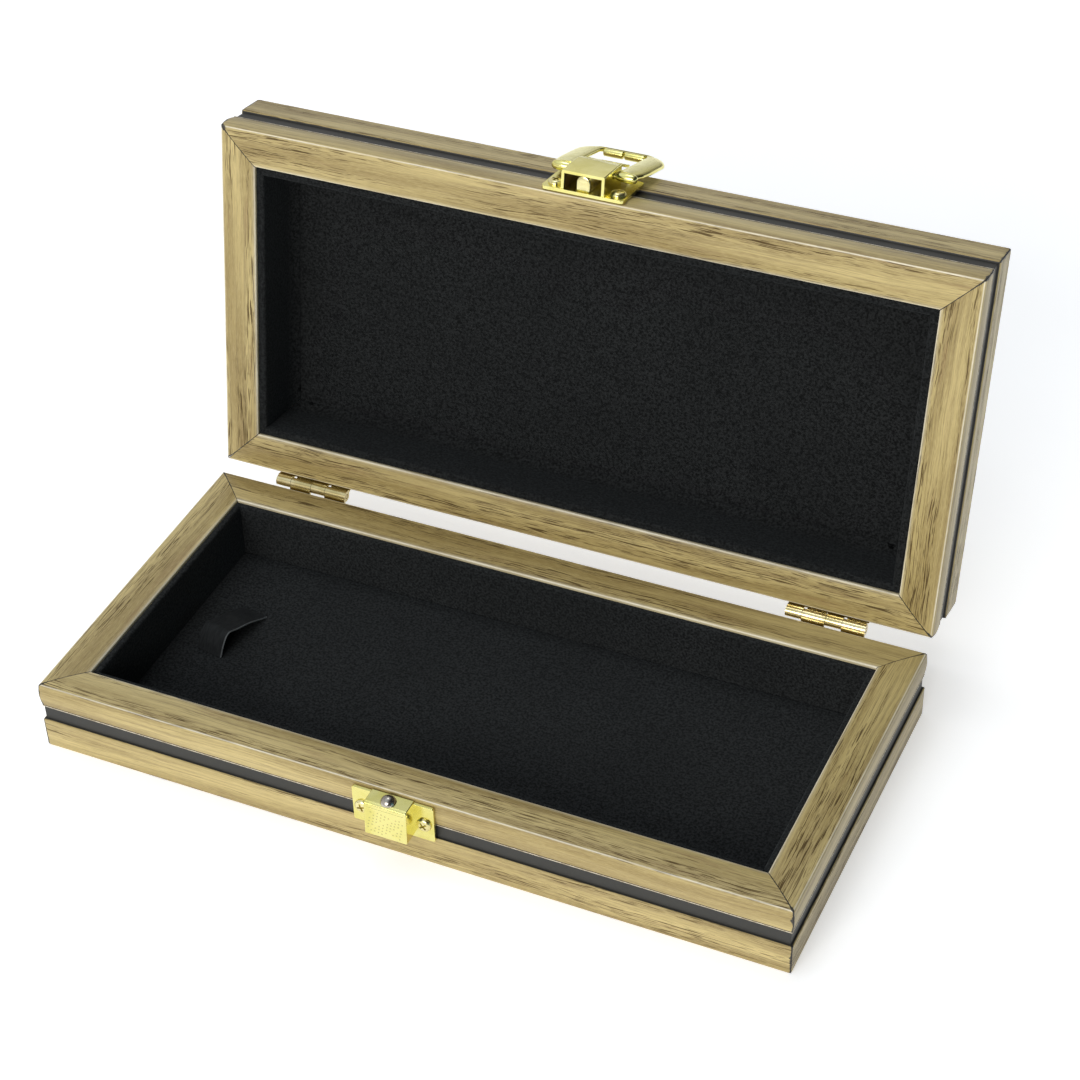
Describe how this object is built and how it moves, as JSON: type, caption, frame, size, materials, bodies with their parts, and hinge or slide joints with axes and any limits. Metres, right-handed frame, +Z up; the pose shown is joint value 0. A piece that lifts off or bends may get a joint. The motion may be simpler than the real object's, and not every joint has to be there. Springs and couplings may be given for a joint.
{
  "type": "poker chip case",
  "caption": "Rectangular wood-look poker chip case with a hinged lid, felt-lined trays, ribbon-lifted floor board and a swinging loop latch.",
  "frame": {"origin": "centre of the base's flat underside", "axes": "+X along the length, to the right seen from the latch; +Y towards the hinges; +Z up. The lid stands open on the hinge stops at rest."},
  "size_m": [0.2498, 0.1863, 0.1527],
  "materials": {
    "laminate_wood": "matt oak-look foil wrapped over a wood-fibre moulding",
    "panel_wood": "matt oak-look foil on thin board",
    "black_felt": "short-pile black felt",
    "greyboard": "plain grey board, unseen",
    "black_ribbon": "black woven ribbon",
    "hinge_brass": "brass-plated steel, bright",
    "latch_brass": "polished pale brass plating",
    "steel_rivet": "plain steel rivet"
  },
  "bodies": {
    "base": {"base_bottom_panel": "panel_wood", "base_liner_back": "black_felt", "base_liner_front": "black_felt", "base_liner_left": "black_felt", "base_liner_right": "black_felt", "base_rail_back": "laminate_wood", "base_rail_front": "laminate_wood", "base_rail_left": "laminate_wood", "base_rail_right": "laminate_wood", "hinge_left_base_leaf": "hinge_brass", "hinge_left_pin": "hinge_brass", "hinge_right_base_leaf": "hinge_brass", "hinge_right_pin": "hinge_brass", "hinge_screws_base": "hinge_brass", "latch_catch": "latch_brass", "latch_catch_rivet": "steel_rivet", "latch_catch_screws": "latch_brass"},
    "floor_insert": {"floor_board": "greyboard", "floor_felt": "black_felt", "ribbon_pull": "black_ribbon"},
    "lid": {"hinge_left_lid_leaf": "hinge_brass", "hinge_right_lid_leaf": "hinge_brass", "hinge_screws_lid": "hinge_brass", "latch_pin": "latch_brass", "latch_plate": "latch_brass", "latch_plate_screws": "latch_brass", "latch_spring": "latch_brass", "lid_liner_back": "black_felt", "lid_liner_front": "black_felt", "lid_liner_left": "black_felt", "lid_liner_right": "black_felt", "lid_panel_board": "greyboard", "lid_panel_felt": "black_felt", "lid_rail_back": "laminate_wood", "lid_rail_front": "laminate_wood", "lid_rail_left": "laminate_wood", "lid_rail_right": "laminate_wood", "lid_top_panel": "panel_wood"},
    "loop": {"latch_loop": "latch_brass"}
  },
  "joints": [
    {"name": "lid_hinge", "type": "hinge", "parent": "base", "child": "lid", "pos_m": [0, 0.0621, 0.02568], "axis": [1, 0, 0], "range_deg": [0, 100]},
    {"name": "latch_swing", "type": "hinge", "parent": "lid", "child": "loop", "pos_m": [0, 0.09376, 0.14865], "axis": [1, 0, 0], "range_deg": [0, 187.4]},
    {"name": "floor_board_lift", "type": "slide", "parent": "base", "child": "floor_insert", "axis": [0, 0, 1], "range_m": [0, 0.0205]}
  ]
}
